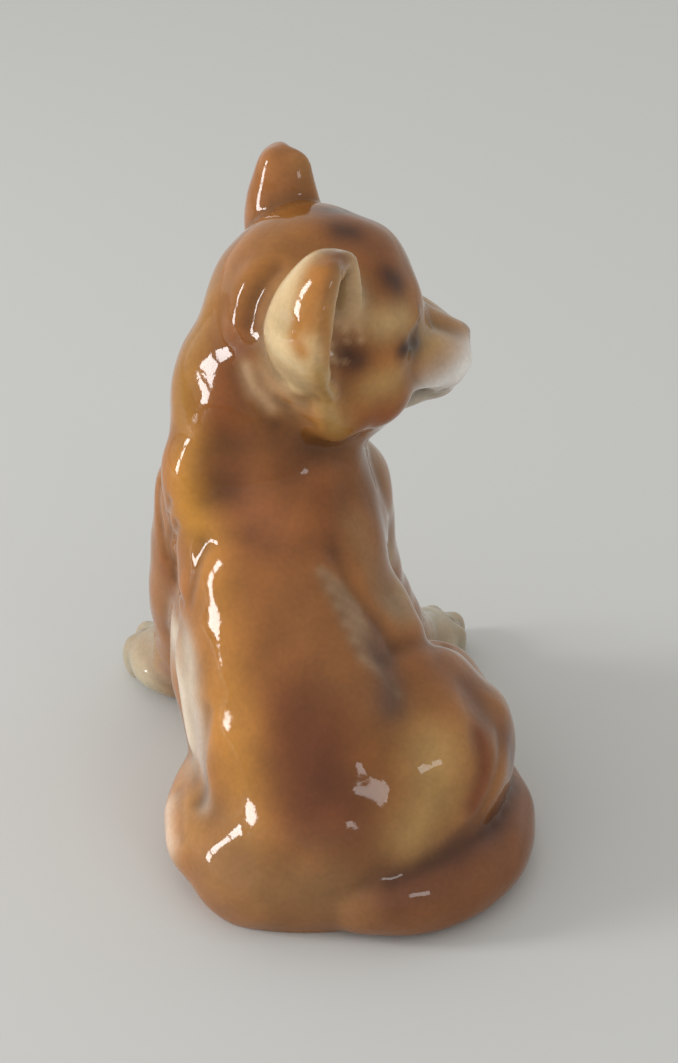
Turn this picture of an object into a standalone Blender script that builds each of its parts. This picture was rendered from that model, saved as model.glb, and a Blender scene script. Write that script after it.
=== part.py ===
"""Seated lion cub, a slip-cast and glazed ceramic figurine, as the members that a potter lutes together.

Metres, +Z up. The cub looks towards -Y, its left side is at +X, and it sits on the plane z = 0.
A step is (to the cub's left, towards its rump, up). Nothing moves: slip lutes the members to each other.
"""

import math

import bmesh
import bpy
from mathutils import Matrix, Vector

# Clay: wall of the two hollow casts, slip line between luted members, and the hole that slip goes in by.
WALL = 0.0050
SLIP_GAP = 0.0003
POUR_HOLE_RADIUS = 0.0080

# Torso: a column from the seat over the waist and shoulders to the neck, leaning to the cub's left. Belly,
# flank, loin, rump and shoulder blades are pressed on. A step starts at the point that its comment names.
SEAT_HEIGHT = 0.0110
RUMP_HALF_WIDTH = 0.0241
RUMP_HALF_DEPTH = 0.0219
WAIST_STEP = (0.0095, -0.0170, 0.0294)
WAIST_HALF_WIDTH = 0.0204
WAIST_HALF_DEPTH = 0.0192
SHOULDER_STEP = (0.0020, -0.0170, 0.0234)
SHOULDER_HALF_WIDTH = 0.0186
SHOULDER_HALF_DEPTH = 0.0174
NECK_STEP = (0.0010, -0.0030, 0.0120)
NECK_RADIUS = 0.0168
# From the shoulder
CHEST_STEP = (-0.0010, -0.0090, -0.0040)
CHEST_HALF_WIDTH = 0.0155
CHEST_HALF_DEPTH = 0.0120
LEFT_BLADE_STEP = (0.0140, 0.0052, 0.0030)
LEFT_BLADE_RADII = (0.0070, 0.0084, 0.0130)
RIGHT_BLADE_STEP = (-0.0050, 0.0075, 0.0020)
RIGHT_BLADE_RADII = (0.0090, 0.0095, 0.0120)
# From the waist
MIDRIFF_STEP = (0.0025, -0.0160, 0.0040)
MIDRIFF_HALF_WIDTH = 0.0175
MIDRIFF_HALF_DEPTH = 0.0140
BELLY_STEP = (0.0045, -0.0150, -0.0140)
BELLY_HALF_WIDTH = 0.0184
BELLY_HALF_DEPTH = 0.0180
GROIN_STEP = (0.0040, -0.0110, -0.0240)
GROIN_HALF_WIDTH = 0.0170
GROIN_HALF_DEPTH = 0.0150
RIBS_STEP = (-0.0130, -0.0030, 0.0040)
# From the seat
FLANK_STEP = (-0.0100, -0.0080, 0.0220)
FLANK_RADIUS = 0.0090
LOIN_FRONT_STEP = (-0.0076, -0.0100, 0.0160)
LOIN_BACK_STEP = (-0.0060, -0.0020, 0.0155)
LOIN_RADIUS = 0.0140
BUTTOCK_STEP = (0.0060, 0.0050, 0.0040)
BUTTOCK_RADII = (0.0190, 0.0170, 0.0170)
LEFT_RUMP_STEP = (0.0185, 0.0080, -0.0030)
LEFT_RUMP_RADIUS = 0.0120
RIGHT_RUMP_STEP = (0.0080, 0.0090, -0.0030)
RIGHT_RUMP_RADIUS = 0.0130

# Head: its middle is a step from the neck's end. Its lumps are measured from there, in axes that are turned
# to the cub's right and tilted. The lips start at the muzzle, the snout at the lips, the nose at the bridge,
# the chin at the jaw, and each tip at what it ends.
HEAD_STEP = (-0.0065, -0.0010, 0.0163)
HEAD_TURN_DEG = -85.0
HEAD_ROLL_DEG = -7.5
SKULL_STEP = (0.0, -0.0028, 0.0002)
SKULL_RADII = (0.0220, 0.0206, 0.0232)
NAPE_STEP = (0.0, 0.0088, -0.0095)
NAPE_RADII = (0.0155, 0.0130, 0.0140)
FOREHEAD_STEP = (0.0, -0.0085, 0.0088)
FOREHEAD_RADII = (0.0140, 0.0124, 0.0132)
BROW_STEP = (0.0, -0.0130, 0.0062)
BROW_RADII = (0.0130, 0.0088, 0.0084)
BROW_RIDGE_SPREAD = 0.0080
BROW_RIDGE_STEP = (0.0, -0.0160, 0.0080)
BROW_RIDGE_RADII = (0.0050, 0.0042, 0.0036)
CHEEK_SPREAD = 0.0115
CHEEK_STEP = (0.0, -0.0085, -0.0050)
CHEEK_RADII = (0.0090, 0.0105, 0.0085)
RUFF_SPREAD = 0.0170
RUFF_STEP = (0.0, -0.0035, -0.0045)
RUFF_RADII = (0.0060, 0.0085, 0.0075)
MUZZLE_STEP = (0.0, -0.0120, -0.0010)
MUZZLE_HALF_WIDTH = 0.0118
MUZZLE_HALF_HEIGHT = 0.0088
LIPS_STEP = (0.0, -0.0080, -0.0032)
LIPS_HALF_WIDTH = 0.0102
LIPS_HALF_HEIGHT = 0.0076
SNOUT_STEP = (0.0, -0.0045, -0.0020)
SNOUT_HALF_WIDTH = 0.0074
SNOUT_HALF_HEIGHT = 0.0058
PAD_SPREAD = 0.0046
PAD_STEP = (0.0, -0.0256, -0.0070)
PAD_RADII = (0.0052, 0.0054, 0.0048)
BRIDGE_STEP = (0.0, -0.0140, 0.0042)
BRIDGE_HALF_WIDTH = 0.0060
BRIDGE_HALF_HEIGHT = 0.0050
NOSE_STEP = (0.0, -0.0144, -0.0076)
NOSE_HALF_WIDTH = 0.0042
NOSE_HALF_HEIGHT = 0.0032
NOSE_TIP_STEP = (0.0, -0.0020, -0.0002)
NOSE_TIP_RADII = (0.0042, 0.0023, 0.0026)
JAW_STEP = (0.0, -0.0060, -0.0095)
JAW_HALF_WIDTH = 0.0110
JAW_HALF_HEIGHT = 0.0055
CHIN_STEP = (0.0, -0.0140, -0.0015)
CHIN_HALF_WIDTH = 0.0065
CHIN_HALF_HEIGHT = 0.0040
CHIN_TIP_STEP = (0.0, -0.0042, -0.0010)
CHIN_TIP_RADII = (0.0054, 0.0056, 0.0034)

# Ears: upright cups that open forwards and a little outwards. The left one is slimmer and laid back.
EAR_HEIGHT = 0.0295
EAR_WALL = 0.0026
EAR_LEAN_DEG = -4.0
LEFT_EAR_SPREAD = 0.0195
LEFT_EAR_STEP = (0.0, 0.0004, 0.0124)
LEFT_EAR_WIDTH = 0.0172
LEFT_EAR_DEPTH = 0.0145
LEFT_EAR_OUTWARD_DEG = 24.0
LEFT_EAR_NOD_DEG = -9.0
RIGHT_EAR_SPREAD = 0.0200
RIGHT_EAR_STEP = (0.0, 0.0018, 0.0122)
RIGHT_EAR_WIDTH = 0.0195
RIGHT_EAR_DEPTH = 0.0165
RIGHT_EAR_OUTWARD_DEG = 34.0
RIGHT_EAR_NOD_DEG = 3.0

# Forelegs: columns from the shoulders to broad paws, splayed more on the right.
LEFT_FORELEG_SPREAD = 0.0116
RIGHT_FORELEG_SPREAD = 0.0132
FORELEG_STEP = (0.0, -0.0070, -0.0050)
FORELEG_HALF_WIDTH = 0.0104
FORELEG_HALF_DEPTH = 0.0124
SHOULDER_MUSCLE_SPREAD = 0.0120
SHOULDER_MUSCLE_STEP = (0.0, -0.0020, -0.0070)
SHOULDER_MUSCLE_RADII = (0.0086, 0.0090, 0.0125)
LEFT_ELBOW_SPREAD = 0.0034
RIGHT_ELBOW_SPREAD = 0.0044
ELBOW_STEP = (0.0, -0.0040, -0.0220)
ELBOW_HALF_WIDTH = 0.0090
ELBOW_HALF_DEPTH = 0.0100
WRIST_STEP = (0.0, 0.0100, 0.0130)
WRIST_RADIUS = 0.0076
LEFT_FOREPAW_SPREAD = 0.0188
LEFT_FOREPAW_SPLAY_DEG = 17.0
RIGHT_FOREPAW_SPREAD = 0.0340
RIGHT_FOREPAW_SPLAY_DEG = 38.0
FOREPAW_FORWARD = 0.0320
FOREPAW_LENGTH = 0.0250
FOREPAW_WIDTH = 0.0195
FOREPAW_HEIGHT = 0.0130

# Hind legs: the right one is drawn up, the left one lies low under the body. Heels and paws are on the table.
RIGHT_HIP_STEP = (-0.0115, -0.0030, 0.0090)
RIGHT_THIGH_HALF_WIDTH = 0.0175
RIGHT_THIGH_HALF_HEIGHT = 0.0190
RIGHT_KNEE_STEP = (-0.0080, -0.0220, -0.0010)
RIGHT_KNEE_RADIUS = 0.0120
RIGHT_HEEL_FROM_HIP = (-0.0110, -0.0060)
RIGHT_PAW_FROM_KNEE = (-0.0040, -0.0130)
RIGHT_HIND_SPLAY_DEG = 10.0
SHANK_RADIUS = 0.0075
LEFT_HIP_STEP = (0.0205, 0.0030, -0.0020)
LEFT_THIGH_HALF_WIDTH = 0.0145
LEFT_THIGH_HALF_HEIGHT = 0.0102
LEFT_KNEE_STEP = (-0.0010, -0.0270, 0.0)
LEFT_KNEE_RADIUS = 0.0095
LEFT_PAW_FROM_KNEE = (-0.0010, -0.0150)
LEFT_HIND_SPLAY_DEG = 6.0
HIND_PAW_LENGTH = 0.0230
HIND_PAW_WIDTH = 0.0160
HIND_PAW_HEIGHT = 0.0115

# Toes stand on an arc round the front of every paw. A paw and a heel are pressed flat by this depth.
TOE_COUNT = 4
TOE_RADIUS = 0.0038
TOE_FAN_DEG = 55.0
PRESS_DEPTH = 0.0010

# Tail: a roll of clay from the rump, laid on an arc round the right haunch. Angles start behind the haunch.
TAIL_ARC_FROM_HIP = (0.0045, -0.0070)
TAIL_ARC_HALF_WIDTH = 0.0225
TAIL_ARC_HALF_DEPTH = 0.0270
TAIL_START_DEG = -30.0
TAIL_END_DEG = 118.0
TAIL_ROOT_RADIUS = 0.0085
TAIL_TIP_RADIUS = 0.0056

# Grain of the clay: the size of its cells.
TORSO_GRAIN = 0.0037
HEAD_GRAIN = 0.0027
LIMB_GRAIN = 0.0031
EAR_GRAIN = 0.0022
CORE_GRAIN = 0.0060
SPONGE_ROUNDS = 3

# Counts for lofts, and the edge of the blocks that trim at a level.
RING_SIDES = 24
LOFT_STEPS = 5
CAP_RINGS = 4
TAIL_STATIONS = 8
BLOCK_EDGE = 0.4

LEFT, RIGHT = 1, -1
SIDEWAYS = Vector((1, 0, 0))
UPWARDS = Vector((0, 0, 1))

# Skeleton: the points that carry the members.
SEAT = Vector((0, 0, SEAT_HEIGHT))
WAIST = SEAT + Vector(WAIST_STEP)
SHOULDER = WAIST + Vector(SHOULDER_STEP)
NECK = SHOULDER + Vector(NECK_STEP)
SKULL = NECK + Vector(HEAD_STEP)
RIGHT_HIP = SEAT + Vector(RIGHT_HIP_STEP)
LEFT_HIP = SEAT + Vector(LEFT_HIP_STEP)


def clear_scene():
    for obj in list(bpy.data.objects):
        bpy.data.objects.remove(obj)


def link(name, mesh):
    obj = bpy.data.objects.new(name, mesh)
    bpy.context.scene.collection.objects.link(obj)
    return obj


def as_helper(obj):
    obj.hide_render = True
    obj.display_type = "WIRE"
    return obj


def mesh_of(name, clay):
    mesh = bpy.data.meshes.new(name)
    clay.to_mesh(mesh)
    clay.free()
    return mesh


def mirrored(step, side, spread=0.0):
    """A step on the left (1) or right (-1) side, moved out by spread."""
    return Vector((side * (spread + step[0]), step[1], step[2]))


# Lumps of clay: each adds one closed shape to a bmesh.

def add_ball(clay, centre, radii, frame=Matrix.Identity(4)):
    """An ellipsoid with these three radii, in the axes of frame."""
    matrix = frame @ Matrix.Translation(centre) @ Matrix.Diagonal((*radii, 1.0))
    bmesh.ops.create_icosphere(clay, subdivisions=3, radius=1.0, matrix=matrix)


def between(a, b, c, d, t):
    """The Catmull-Rom value at t from b to c."""
    slope = (c - a) / 2
    next_slope = (d - b) / 2
    start = b * (2 * t ** 3 - 3 * t ** 2 + 1) + slope * (t ** 3 - 2 * t ** 2 + t)
    return start + c * (3 * t ** 2 - 2 * t ** 3) + next_slope * (t ** 3 - t ** 2)


def smooth_path(stations):
    """Rows (centre, half width, half depth) on a smooth curve through the stations."""
    rows = [(*centre, width, depth) for centre, width, depth in stations]
    padded = [rows[0], *rows, rows[-1]]
    made = []
    for four in zip(padded, padded[1:], padded[2:], padded[3:]):
        for step in range(LOFT_STEPS):
            made.append([between(*values, step / LOFT_STEPS) for values in zip(*four)])
    made.append(rows[-1])
    return [(Vector(row[:3]), row[3], row[4]) for row in made]


def dome(row, tangent, way):
    """Shrinking rings that round off a loft's end, nearest first. The last is left for the end face."""
    centre, half_width, half_depth = row
    reach = min(half_width, half_depth)
    rings = []
    for ring in range(1, CAP_RINGS + 1):
        angle = math.pi / 2 * ring / (CAP_RINGS + 0.5)
        shrink = math.cos(angle)
        place = centre + tangent * way * reach * math.sin(angle)
        rings.append((place, half_width * shrink, half_depth * shrink))
    return rings


def add_limb(clay, stations, side_hint=SIDEWAYS, frame=Matrix.Identity(4)):
    """A round-ended loft through elliptical stations, whose half widths lie near side_hint."""
    path = smooth_path(stations)
    centres = [row[0] for row in path]
    ahead = [*centres[1:], centres[-1]]
    behind = [centres[0], *centres[:-1]]
    tangents = [(a - b).normalized() for a, b in zip(ahead, behind)]
    start = dome(path[0], tangents[0], -1)[::-1]
    end = dome(path[-1], tangents[-1], 1)
    rows = start + path + end
    tangents = [tangents[0]] * len(start) + tangents + [tangents[-1]] * len(end)
    angles = [2 * math.pi * k / RING_SIDES for k in range(RING_SIDES)]
    loops = []
    for (centre, half_width, half_depth), tangent in zip(rows, tangents):
        side = (side_hint - tangent * side_hint.dot(tangent)).normalized()
        depth = tangent.cross(side)
        points = [centre + side * half_width * math.cos(a) + depth * half_depth * math.sin(a) for a in angles]
        loops.append([clay.verts.new(frame @ point) for point in points])
    for lower, upper in zip(loops, loops[1:]):
        for k in range(RING_SIDES):
            n = (k + 1) % RING_SIDES
            clay.faces.new((lower[k], lower[n], upper[n], upper[k]))
    clay.faces.new(loops[0][::-1])
    clay.faces.new(loops[-1])


def add_roll(clay, start, start_radius, end, end_radius):
    """A short round-ended roll from one point to another."""
    way = (end - start).normalized()
    hint = SIDEWAYS if abs(way.x) < abs(way.z) else UPWARDS
    add_limb(clay, [(start, start_radius, start_radius), (end, end_radius, end_radius)], hint)


def paw_frame(x, y, splay_deg, side):
    """The table under the middle of a paw, turned outwards by its splay."""
    return Matrix.Translation((x, y, 0)) @ Matrix.Rotation(math.radians(splay_deg) * side, 4, "Z")


def add_paw(clay, frame, length, width, height):
    """A pad, pressed a little into the table, with toes round its front."""
    add_ball(clay, (0, 0, height / 2 - PRESS_DEPTH), (width / 2, length / 2, height / 2), frame)
    for toe in range(TOE_COUNT):
        angle = math.radians(TOE_FAN_DEG) * (2 * toe / (TOE_COUNT - 1) - 1)
        x = (width / 2 - TOE_RADIUS / 2) * math.sin(angle)
        y = -(length / 2 - TOE_RADIUS / 2) * math.cos(angle)
        add_ball(clay, (x, y, TOE_RADIUS), (TOE_RADIUS, TOE_RADIUS, height / 2 - PRESS_DEPTH), frame)


# Skins and cuts

def skin(name, mesh, grain, swell=0.0):
    """The lumps as one closed skin, welded, sponged smooth and faceted. A cutter is then swollen."""
    obj = link(name, mesh)
    weld = obj.modifiers.new("weld", "REMESH")
    weld.mode = "VOXEL"
    weld.voxel_size = grain
    weld.use_smooth_shade = True
    sponge = obj.modifiers.new("sponge", "SMOOTH")
    sponge.factor = 0.5
    sponge.iterations = SPONGE_ROUNDS
    obj.modifiers.new("facet", "TRIANGULATE")
    if swell:
        growth = obj.modifiers.new("swell", "DISPLACE")
        growth.strength = swell
        growth.mid_level = 0.0
    return obj


def outline(name, mesh, grain):
    """The space that a member and its slip line take, to trim what is luted on it."""
    return as_helper(skin(name + "_outline", mesh, grain, SLIP_GAP))


def cut(obj, *cutters):
    """Trims a member. The exact solver leaves an open edge or skips a cut on some of these round skins."""
    for cutter in cutters:
        boolean = obj.modifiers.new("cut_by_" + cutter.name, "BOOLEAN")
        boolean.operation = "DIFFERENCE"
        boolean.solver = "MANIFOLD"
        boolean.object = cutter


def trim_block(name, level, way):
    """A block that takes away all clay above (1) or below (-1) a level."""
    clay = bmesh.new()
    place = Matrix.Translation((0, 0, level + way * BLOCK_EDGE / 2))
    bmesh.ops.create_cube(clay, size=BLOCK_EDGE, matrix=place)
    return as_helper(link(name, mesh_of(name, clay)))


def glaze(obj, colour, roughness=0.12):
    material = bpy.data.materials.new(obj.name + "_glaze")
    material.use_nodes = True
    shader = material.node_tree.nodes["Principled BSDF"]
    shader.inputs["Base Color"].default_value = (*colour, 1.0)
    shader.inputs["Roughness"].default_value = roughness
    obj.data.materials.append(material)


# Torso

def torso_mesh():
    clay = bmesh.new()
    add_limb(clay, [
        (SEAT, RUMP_HALF_WIDTH, RUMP_HALF_DEPTH),
        ((SEAT + WAIST) / 2, RUMP_HALF_WIDTH, RUMP_HALF_DEPTH),
        (WAIST, WAIST_HALF_WIDTH, WAIST_HALF_DEPTH),
        (SHOULDER, SHOULDER_HALF_WIDTH, SHOULDER_HALF_DEPTH),
        (NECK, NECK_RADIUS, NECK_RADIUS),
    ])
    add_limb(clay, [
        (SHOULDER + Vector(CHEST_STEP), CHEST_HALF_WIDTH, CHEST_HALF_DEPTH),
        (WAIST + Vector(MIDRIFF_STEP), MIDRIFF_HALF_WIDTH, MIDRIFF_HALF_DEPTH),
        (WAIST + Vector(BELLY_STEP), BELLY_HALF_WIDTH, BELLY_HALF_DEPTH),
        (WAIST + Vector(GROIN_STEP), GROIN_HALF_WIDTH, GROIN_HALF_DEPTH),
    ])
    add_roll(clay, WAIST + Vector(RIBS_STEP), FLANK_RADIUS, SEAT + Vector(FLANK_STEP), FLANK_RADIUS)
    add_roll(clay, SEAT + Vector(LOIN_FRONT_STEP), LOIN_RADIUS, SEAT + Vector(LOIN_BACK_STEP), LOIN_RADIUS)
    add_roll(clay, SEAT + Vector(LEFT_RUMP_STEP), LEFT_RUMP_RADIUS,
             SEAT + Vector(RIGHT_RUMP_STEP), RIGHT_RUMP_RADIUS)
    add_ball(clay, SEAT + Vector(BUTTOCK_STEP), BUTTOCK_RADII)
    add_ball(clay, SHOULDER + Vector(LEFT_BLADE_STEP), LEFT_BLADE_RADII)
    add_ball(clay, SHOULDER + Vector(RIGHT_BLADE_STEP), RIGHT_BLADE_RADII)
    return mesh_of("torso", clay)


def torso_core():
    """The hollow inside the torso's wall, from a floor one wall thick up through the neck."""
    rise = (RUMP_HALF_DEPTH - SEAT.z) / (WAIST.z - SEAT.z)
    bottom = SEAT.lerp(WAIST, rise)
    clay = bmesh.new()
    add_limb(clay, [
        (bottom, RUMP_HALF_WIDTH - WALL, RUMP_HALF_DEPTH - WALL),
        (WAIST, WAIST_HALF_WIDTH - WALL, WAIST_HALF_DEPTH - WALL),
        (SHOULDER, SHOULDER_HALF_WIDTH - WALL, SHOULDER_HALF_DEPTH - WALL),
        (NECK, NECK_RADIUS - WALL, NECK_RADIUS - WALL),
    ])
    core = as_helper(skin("torso_core", mesh_of("torso_core", clay), CORE_GRAIN))
    drill = bmesh.new()
    place = Matrix.Translation((bottom.x, bottom.y, 0))
    bmesh.ops.create_cone(drill, cap_ends=True, segments=RING_SIDES, radius1=POUR_HOLE_RADIUS,
                          radius2=POUR_HOLE_RADIUS, depth=2 * bottom.z, matrix=place)
    return core, as_helper(link("pour_hole", mesh_of("pour_hole", drill)))


# Head

def head_frame():
    turn = Matrix.Rotation(math.radians(HEAD_TURN_DEG), 4, "Z")
    roll = Matrix.Rotation(math.radians(HEAD_ROLL_DEG), 4, "Y")
    return Matrix.Translation(SKULL) @ turn @ roll


def head_mesh():
    frame = head_frame()
    clay = bmesh.new()
    add_ball(clay, SKULL_STEP, SKULL_RADII, frame)
    add_ball(clay, NAPE_STEP, NAPE_RADII, frame)
    add_ball(clay, FOREHEAD_STEP, FOREHEAD_RADII, frame)
    add_ball(clay, BROW_STEP, BROW_RADII, frame)
    for side in (LEFT, RIGHT):
        add_ball(clay, mirrored(BROW_RIDGE_STEP, side, BROW_RIDGE_SPREAD), BROW_RIDGE_RADII, frame)
        add_ball(clay, mirrored(CHEEK_STEP, side, CHEEK_SPREAD), CHEEK_RADII, frame)
        add_ball(clay, mirrored(RUFF_STEP, side, RUFF_SPREAD), RUFF_RADII, frame)
        add_ball(clay, mirrored(PAD_STEP, side, PAD_SPREAD), PAD_RADII, frame)
    muzzle = Vector(MUZZLE_STEP)
    lips = muzzle + Vector(LIPS_STEP)
    add_limb(clay, [
        (muzzle, MUZZLE_HALF_WIDTH, MUZZLE_HALF_HEIGHT),
        (lips, LIPS_HALF_WIDTH, LIPS_HALF_HEIGHT),
        (lips + Vector(SNOUT_STEP), SNOUT_HALF_WIDTH, SNOUT_HALF_HEIGHT),
    ], SIDEWAYS, frame)
    bridge = Vector(BRIDGE_STEP)
    nose = bridge + Vector(NOSE_STEP)
    add_limb(clay, [
        (bridge, BRIDGE_HALF_WIDTH, BRIDGE_HALF_HEIGHT),
        (nose, NOSE_HALF_WIDTH, NOSE_HALF_HEIGHT),
    ], SIDEWAYS, frame)
    add_ball(clay, nose + Vector(NOSE_TIP_STEP), NOSE_TIP_RADII, frame)
    jaw = Vector(JAW_STEP)
    chin = jaw + Vector(CHIN_STEP)
    add_limb(clay, [
        (jaw, JAW_HALF_WIDTH, JAW_HALF_HEIGHT),
        (chin, CHIN_HALF_WIDTH, CHIN_HALF_HEIGHT),
    ], SIDEWAYS, frame)
    add_ball(clay, chin + Vector(CHIN_TIP_STEP), CHIN_TIP_RADII, frame)
    add_limb(clay, [(NECK, NECK_RADIUS, NECK_RADIUS), (SKULL, NECK_RADIUS, NECK_RADIUS)])
    return mesh_of("head", clay)


def head_core():
    """The hollow inside the skull's wall, open down through the neck into the torso's hollow."""
    clay = bmesh.new()
    add_ball(clay, SKULL_STEP, [radius - WALL for radius in SKULL_RADII], head_frame())
    bore = NECK_RADIUS - WALL
    add_limb(clay, [(NECK, bore, bore), (SKULL, bore, bore)])
    return as_helper(skin("head_core", mesh_of("head_core", clay), CORE_GRAIN))


# Ears

def ear_frame(side, spread, step, outward_deg, nod_deg):
    """The middle of an ear on the skull, with the ear's width, depth and height as axes."""
    place = Matrix.Translation(mirrored(step, side, spread))
    lean = Matrix.Rotation(math.radians(EAR_LEAN_DEG) * side, 4, "Y")
    nod = Matrix.Rotation(math.radians(nod_deg), 4, "X")
    outward = Matrix.Rotation(math.radians(outward_deg) * side, 4, "Z")
    return head_frame() @ place @ lean @ nod @ outward


def ear_meshes(name, frame, width, depth):
    """The ear's lump, and the cup that is scooped out of it down to the wall."""
    lump = bmesh.new()
    add_ball(lump, (0, 0, 0), (width / 2, depth / 2, EAR_HEIGHT / 2), frame)
    scoop = bmesh.new()
    front = EAR_WALL - depth / 2
    scoop_radii = (width / 2 - EAR_WALL, depth / 2 - EAR_WALL - front, EAR_HEIGHT / 2 - EAR_WALL)
    add_ball(scoop, (0, front, 0), scoop_radii, frame)
    return mesh_of(name, lump), mesh_of(name + "_scoop", scoop)


# Legs

def foreleg_mesh(name, side, spread, elbow_spread, paw_spread, splay_deg):
    top = SHOULDER + mirrored(FORELEG_STEP, side, spread)
    elbow = top + mirrored(ELBOW_STEP, side, elbow_spread)
    frame = paw_frame(SHOULDER.x + side * paw_spread, SHOULDER.y - FOREPAW_FORWARD, splay_deg, side)
    clay = bmesh.new()
    muscle = SHOULDER + mirrored(SHOULDER_MUSCLE_STEP, side, SHOULDER_MUSCLE_SPREAD)
    add_ball(clay, muscle, SHOULDER_MUSCLE_RADII)
    add_limb(clay, [
        (top, FORELEG_HALF_WIDTH, FORELEG_HALF_DEPTH),
        (elbow, ELBOW_HALF_WIDTH, ELBOW_HALF_DEPTH),
        (frame @ Vector(WRIST_STEP), WRIST_RADIUS, WRIST_RADIUS),
        (frame @ Vector((0, 0, FOREPAW_HEIGHT / 2)), WRIST_RADIUS, FOREPAW_HEIGHT / 2),
    ])
    add_paw(clay, frame, FOREPAW_LENGTH, FOREPAW_WIDTH, FOREPAW_HEIGHT)
    return mesh_of(name, clay)


def right_hind_leg_mesh():
    knee = RIGHT_HIP + Vector(RIGHT_KNEE_STEP)
    heel = RIGHT_HIP + Vector((*RIGHT_HEEL_FROM_HIP, 0))
    heel.z = SHANK_RADIUS - PRESS_DEPTH
    paw = knee + Vector((*RIGHT_PAW_FROM_KNEE, 0))
    frame = paw_frame(paw.x, paw.y, RIGHT_HIND_SPLAY_DEG, RIGHT)
    clay = bmesh.new()
    add_limb(clay, [
        (RIGHT_HIP, RIGHT_THIGH_HALF_WIDTH, RIGHT_THIGH_HALF_HEIGHT),
        ((RIGHT_HIP + knee) / 2, RIGHT_THIGH_HALF_WIDTH, RIGHT_THIGH_HALF_HEIGHT),
        (knee, RIGHT_KNEE_RADIUS, RIGHT_KNEE_RADIUS),
    ])
    add_limb(clay, [(knee, SHANK_RADIUS, SHANK_RADIUS), (heel, SHANK_RADIUS, SHANK_RADIUS)])
    add_limb(clay, [
        (heel, SHANK_RADIUS, SHANK_RADIUS),
        (frame @ Vector((0, 0, HIND_PAW_HEIGHT / 2)), HIND_PAW_WIDTH / 2, HIND_PAW_HEIGHT / 2),
    ])
    add_paw(clay, frame, HIND_PAW_LENGTH, HIND_PAW_WIDTH, HIND_PAW_HEIGHT)
    return mesh_of("right_hind_leg", clay)


def left_hind_leg_mesh():
    knee = LEFT_HIP + Vector(LEFT_KNEE_STEP)
    paw = knee + Vector((*LEFT_PAW_FROM_KNEE, 0))
    frame = paw_frame(paw.x, paw.y, LEFT_HIND_SPLAY_DEG, LEFT)
    clay = bmesh.new()
    add_limb(clay, [
        (LEFT_HIP, LEFT_THIGH_HALF_WIDTH, LEFT_THIGH_HALF_HEIGHT),
        ((LEFT_HIP + knee) / 2, LEFT_THIGH_HALF_WIDTH, LEFT_THIGH_HALF_HEIGHT),
        (knee, LEFT_KNEE_RADIUS, LEFT_KNEE_RADIUS),
        (frame @ Vector((0, 0, HIND_PAW_HEIGHT / 2)), HIND_PAW_WIDTH / 2, HIND_PAW_HEIGHT / 2),
    ])
    add_paw(clay, frame, HIND_PAW_LENGTH, HIND_PAW_WIDTH, HIND_PAW_HEIGHT)
    return mesh_of("left_hind_leg", clay)


# Tail

def tail_mesh():
    stations = []
    for station in range(TAIL_STATIONS):
        share = station / (TAIL_STATIONS - 1)
        angle = math.radians(TAIL_START_DEG + share * (TAIL_END_DEG - TAIL_START_DEG))
        radius = TAIL_ROOT_RADIUS + share * (TAIL_TIP_RADIUS - TAIL_ROOT_RADIUS)
        x = RIGHT_HIP.x + TAIL_ARC_FROM_HIP[0] - TAIL_ARC_HALF_WIDTH * math.sin(angle)
        y = RIGHT_HIP.y + TAIL_ARC_FROM_HIP[1] + TAIL_ARC_HALF_DEPTH * math.cos(angle)
        stations.append((Vector((x, y, radius - PRESS_DEPTH)), radius, radius))
    clay = bmesh.new()
    add_limb(clay, stations, UPWARDS)
    return mesh_of("tail", clay)


def centre_on_table(members):
    """Parents everything to an empty that puts the origin under the middle of the figurine."""
    bpy.context.view_layer.update()
    depsgraph = bpy.context.evaluated_depsgraph_get()
    corners = [Vector(corner) for member in members for corner in member.evaluated_get(depsgraph).bound_box]
    lows = [min(corner[axis] for corner in corners) for axis in range(2)]
    highs = [max(corner[axis] for corner in corners) for axis in range(2)]
    pieces = list(bpy.data.objects)
    cub = link("cub", None)
    for piece in pieces:
        piece.parent = cub
    cub.location = (-(lows[0] + highs[0]) / 2, -(lows[1] + highs[1]) / 2, 0)


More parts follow.
